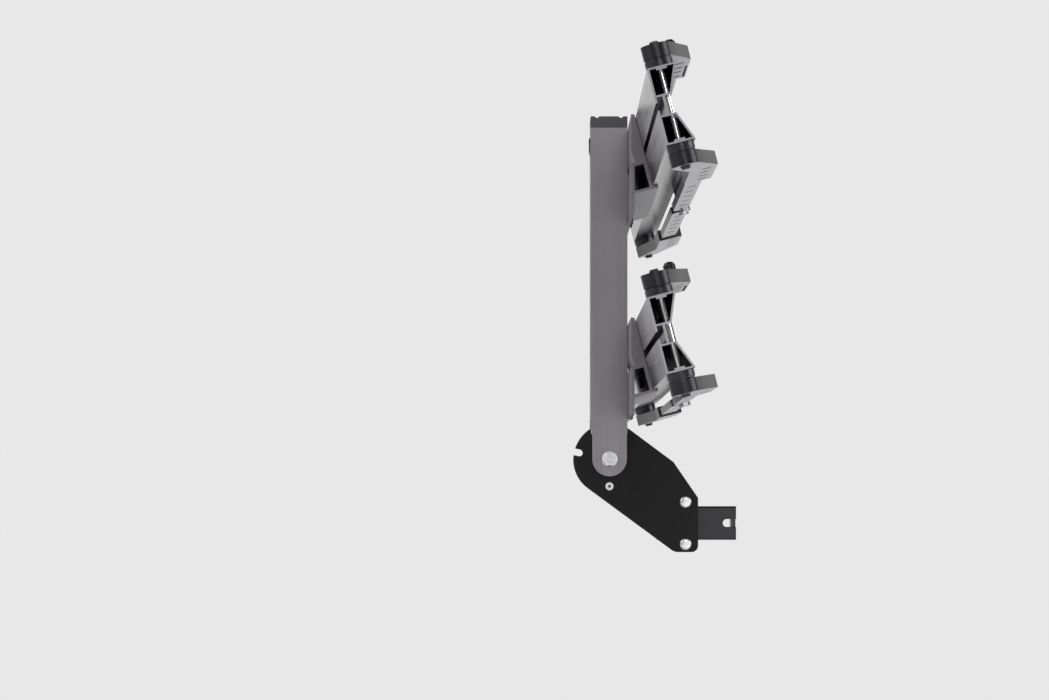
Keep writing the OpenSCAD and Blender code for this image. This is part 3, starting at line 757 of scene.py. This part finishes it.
@dataclass
class WheelArm:
    """One swinging arm: two sleeves, the sliding bars, the padded tube and the clamp knob."""

    bench: Bench
    tray: str
    side: Side
    frame: TrayFrame
    ring: RingTree
    row: RowTree
    sleeve_edge: float = 0.5 * MM
    bar_edge: float = 0.4 * MM
    knob_place: tuple[float, float, float] = (34.575 * MM, 590 * MM, 88.5 * MM)
    knob_radius: float = 7.5 * MM
    rib_size: tuple[float, float, float] = (1.2 * MM, 1.1 * MM, 6.2 * MM)
    rib_count: int = 20
    sleeve_faces: tuple[float, float] = (62.4 * MM, 80.4 * MM)
    mark_w: float = 41.6 * MM
    mark_size: tuple[float, float, float] = (11.6 * MM, 6.6 * MM, 0.3 * MM)
    mark_depth: float = 1.0 * MM
    sleeve_first: float = 461.5 * MM
    sleeve_pitch: float = 40 * MM
    sleeve_marks: int = 4
    bar_w: float = 34.6 * MM
    bar_face: float = 76.9 * MM
    bar_first: float = 87.5 * MM
    bar_pitch: float = 64 * MM
    bar_marks: int = 5

    @property
    def key(self) -> str:
        """The start of the names of this arm's nodes."""
        return f"{self.tray}_{self.side.name.lower()}"

    def build(self) -> None:
        """Dresses the arm and adds its fine pieces."""
        finish = self.bench.finishes
        arm, slide = f"{self.key}_arm", f"{self.key}_slide"
        for level in ("top", "bottom"):
            self.bench.soften(f"{self.key}_sleeve_{level}", arm, finish.arm, self.sleeve_edge)
        self.bench.soften(f"{self.key}_bars", slide, finish.arm, self.bar_edge)
        self.bench.dress(f"{self.key}_cross_tube", finish.steel)
        self.bench.dress(f"{self.key}_wheel_pad", finish.rubber)
        self.bench.dress(f"{self.key}_knob", finish.hub)
        self.grip_ribs()
        self.sleeve_lines()
        self.bar_lines()

    def line_row(self, name: str, body: str, w: float, first: float, pitch: float, count: int,
                 z: float) -> None:
        """Fills a row of pressed index marks with painted shade, a dark sheet on each mark's floor.

        Args:
            name: the piece's name.
            body: the body it rides on.
            w: the marks' place across the arm, in the tray's frame.
            first: the first mark's distance from the tray's middle.
            pitch: the distance between marks.
            count: how many marks.
            z: the height of the marks' floor, in the tray's frame.
        """
        side = self.side.value
        self.bench.repeated(name, self.row,
                            {"Count": count, "Pitch": (0.0, side * pitch, 0.0),
                             "Size": self.mark_size},
                            self.bench.finishes.mark, body, self.frame.at(w, side * first, z))

    def sleeve_lines(self) -> None:
        """Fills the marks on the inner and outer faces of both sleeves with painted shade."""
        inner, outer = self.sleeve_faces
        lift = self.mark_size[2] / 2
        floors = (inner + self.mark_depth - lift, outer - self.mark_depth + lift)
        for level, up in (("top", 1.0), ("bottom", -1.0)):
            for face, floor in zip(("inner", "outer"), floors):
                self.line_row(f"{self.key}_{level}_{face}_marks", f"{self.key}_arm", self.mark_w,
                              self.sleeve_first, self.sleeve_pitch, self.sleeve_marks, up * floor)

    def bar_lines(self) -> None:
        """Fills the marks on the outer faces of both bars with painted shade."""
        floor = self.bar_face - self.mark_depth + self.mark_size[2] / 2
        for level, up in (("top", 1.0), ("bottom", -1.0)):
            self.line_row(f"{self.key}_{level}_bar_marks", f"{self.key}_slide", self.bar_w,
                          self.bar_first, self.bar_pitch, self.bar_marks, up * floor)

    def grip_ribs(self) -> None:
        """Raises grip ribs round the clamp knob."""
        w, y, z = self.knob_place
        turn = self.frame.at(w, self.side.value * y, z)
        self.bench.repeated(f"{self.key}_knob_ribs", self.ring,
                            {"Count": self.rib_count, "Radius": self.knob_radius,
                             "Size": self.rib_size},
                            self.bench.finishes.hub, f"{self.key}_clamp", turn)


@dataclass(frozen=True)
class Lamp:
    """A soft square lamp: its name, place and width in metres, and power in watts."""

    name: str
    place: tuple[float, float, float]
    size: float
    power: float


@dataclass(frozen=True)
class Studio:
    """Pale floor and backdrop, soft lamps, and the camera at the photograph's angle."""

    floor_z: float = -0.47
    pale: Colour = (0.807, 0.807, 0.807)
    pale_rough: float = 0.9
    image_w: int = 1049
    image_h: int = 700
    eye_px: tuple[float, float] = (545.0, 507.0)
    eye: tuple[float, float, float] = (-0.2879, -4.522, 0.0242)
    focal_px: float = 2984.5
    sensor: float = 36.0
    sight: float = 50.0
    room_light: float = 0.12
    sweep_near: float = -14.0
    sweep_far: float = 14.0
    sweep_half: float = 14.0
    sweep_high: float = 10.0
    bend: float = 1.5
    bend_steps: int = 12
    aim: tuple[float, float, float] = (-0.12, 0.0, 0.35)
    lamps: tuple[Lamp, ...] = (
        Lamp("key_left", place=(-3.2, -1.6, 2.2), size=2.2, power=90.0),
        Lamp("key_right", place=(3.2, -0.8, 1.4), size=2.2, power=70.0),
        Lamp("front_fill", place=(0.2, -4.6, 1.6), size=1.2, power=26.0),
        Lamp("low_bounce", place=(0.4, -1.2, -0.42), size=1.6, power=10.0),
    )

    def camera(self) -> None:
        """Makes the camera, square to the beam's face."""
        data = bpy.data.cameras.new("camera")
        data.sensor_width = self.sensor
        data.lens = self.focal_px / self.image_w * self.sensor
        data.shift_x = (self.image_w / 2 - self.eye_px[0]) / self.image_w
        data.shift_y = (self.eye_px[1] - self.image_h / 2) / self.image_w
        data.clip_end = self.sight
        camera = bpy.data.objects.new("camera", data)
        camera.location = self.eye
        camera.rotation_euler = (math.pi / 2, 0.0, 0.0)
        bpy.context.scene.collection.objects.link(camera)
        bpy.context.scene.camera = camera

    def pale_material(self) -> bpy.types.Material:
        """Makes the backdrop's material, one pale tone to the camera and in reflections."""
        shade = Shade("studio_pale")
        path = shade.node("ShaderNodeLightPath", {}, {})
        seen = shade.math("MAXIMUM", Val(shade, path.outputs["Is Camera Ray"]),
                          Val(shade, path.outputs["Is Glossy Ray"]))
        glow = shade.node("ShaderNodeEmission", {}, {"Color": self.pale, "Strength": 1.0})
        shade.finish(Base_Color=self.pale, Roughness=self.pale_rough)
        mixed = shade.node("ShaderNodeMixShader", {}, {0: seen, 1: shade.shader.outputs[0],
                                                      2: glow.outputs[0]})
        shade.tree.links.new(mixed.outputs[0], shade.out.inputs["Surface"])
        return shade.material

    def room(self) -> None:
        """Makes the floor that curves up into the backdrop."""
        flat = self.sweep_far - self.bend
        line = [(self.sweep_near, 0.0), (flat, 0.0)]
        for i in range(1, self.bend_steps + 1):
            turn = math.pi / 2 * i / self.bend_steps
            line.append((flat + self.bend * math.sin(turn), self.bend * (1 - math.cos(turn))))
        line.append((self.sweep_far, self.sweep_high))
        build = bmesh.new()
        rows = [[build.verts.new((x, y, self.floor_z + z))
                 for x in (-self.sweep_half, self.sweep_half)] for y, z in line]
        for low, top in zip(rows, rows[1:]):
            build.faces.new((low[0], low[1], top[1], top[0]))
        mesh = bpy.data.meshes.new("sweep")
        build.to_mesh(mesh)
        build.free()
        mesh.materials.append(self.pale_material())
        mesh.shade_smooth()
        sweep = bpy.data.objects.new("sweep", mesh)
        bpy.context.scene.collection.objects.link(sweep)

    def hang(self, lamp: Lamp) -> None:
        """Hangs a lamp, aimed at the rack."""
        data = bpy.data.lights.new(lamp.name, "AREA")
        data.size = lamp.size
        data.energy = lamp.power
        made = bpy.data.objects.new(lamp.name, data)
        made.location = lamp.place
        aim = Vector(self.aim) - Vector(lamp.place)
        made.rotation_euler = aim.to_track_quat("-Z", "Y").to_euler()
        bpy.context.scene.collection.objects.link(made)

    def world(self) -> None:
        """Makes the world: the backdrop's tone to the camera, a dim room to all else."""
        world = bpy.data.worlds.new("studio_world")
        world.use_nodes = True
        tree = world.node_tree
        dim = tree.nodes["Background"]
        dim.inputs["Color"].default_value = (*self.pale, 1.0)
        dim.inputs["Strength"].default_value = self.room_light
        seen = tree.nodes.new("ShaderNodeBackground")
        seen.inputs["Color"].default_value = (*self.pale, 1.0)
        path = tree.nodes.new("ShaderNodeLightPath")
        mix = tree.nodes.new("ShaderNodeMixShader")
        tree.links.new(path.outputs["Is Camera Ray"], mix.inputs[0])
        tree.links.new(dim.outputs[0], mix.inputs[1])
        tree.links.new(seen.outputs[0], mix.inputs[2])
        tree.links.new(mix.outputs[0], tree.nodes["World Output"].inputs["Surface"])
        bpy.context.scene.world = world

    def lights(self) -> None:
        """Lights the rack from both sides, above and below, and softly from the front."""
        for lamp in self.lamps:
            self.hang(lamp)
        self.world()
        bpy.context.scene.view_settings.view_transform = "Standard"

    def build(self) -> None:
        """Sets up the whole studio."""
        self.camera()
        self.room()
        self.lights()


def main() -> None:
    """Builds the rack's looks around the frame, piece by piece."""
    logging.basicConfig(level=logging.INFO, format="%(message)s")
    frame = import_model()
    Studio().build()
    bench = Bench(frame["nodes"], Finishes())
    ring, row = RingTree(), RowTree()
    sizes = RackSizes()
    HitchBase(bench).build()
    LOG.info("hitch base")
    MainBeam(bench).build()
    LOG.info("main beam")
    for label, level in (("outer", 1), ("inner", 0)):
        place = sizes.tray(level)
        Tray(bench, label, place).build()
        LOG.info("%s tray", label)
        for side in Side:
            WheelArm(bench, label, side, place, ring, row).build()
            LOG.info("%s %s arm", label, side.name.lower())


if __name__ == "__main__":
    main()
